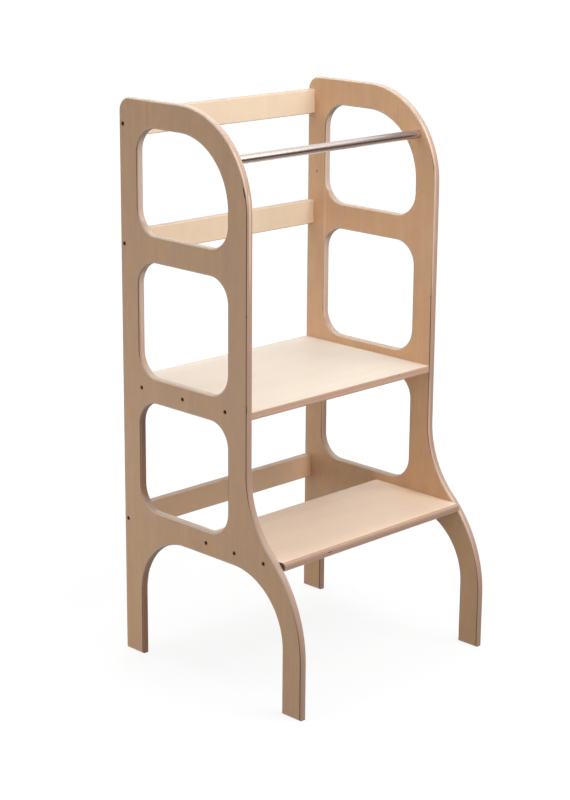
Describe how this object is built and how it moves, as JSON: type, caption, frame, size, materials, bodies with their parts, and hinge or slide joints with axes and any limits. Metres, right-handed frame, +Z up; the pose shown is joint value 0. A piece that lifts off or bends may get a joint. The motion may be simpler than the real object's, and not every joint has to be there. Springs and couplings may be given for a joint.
{
  "type": "toddler kitchen helper stool",
  "caption": "Free-standing plywood learning tower with cut-out side panels, a standing platform, a lower step, back rails and a steel hand bar.",
  "frame": {"origin": "on the floor under the middle of the footprint", "axes": "+X across the stool to its right as seen from the front, -Y to its open front with the step, +Z up"},
  "size_m": [0.424, 0.4, 0.9],
  "materials": {
    "birch_plywood": "clear matt lacquer over sanded birch plywood, plies showing on the edges",
    "brushed_steel": "round stainless bar, finely ground",
    "screw_steel": "dark phosphated steel",
    "beech_dowel": "plain turned beech"
  },
  "bodies": {
    "root": {"left_side_panel": "birch_plywood", "right_side_panel": "birch_plywood", "standing_platform": "birch_plywood", "lower_step": "birch_plywood", "top_back_rail": "birch_plywood", "middle_back_rail": "birch_plywood", "lower_back_rail": "birch_plywood", "steel_hand_bar": "brushed_steel", "left_platform_screws": "screw_steel", "left_step_screws": "screw_steel", "left_rail_screws": "screw_steel", "left_rail_dowels": "beech_dowel", "right_platform_screws": "screw_steel", "right_step_screws": "screw_steel", "right_rail_screws": "screw_steel", "right_rail_dowels": "beech_dowel"}
  },
  "joints": []
}
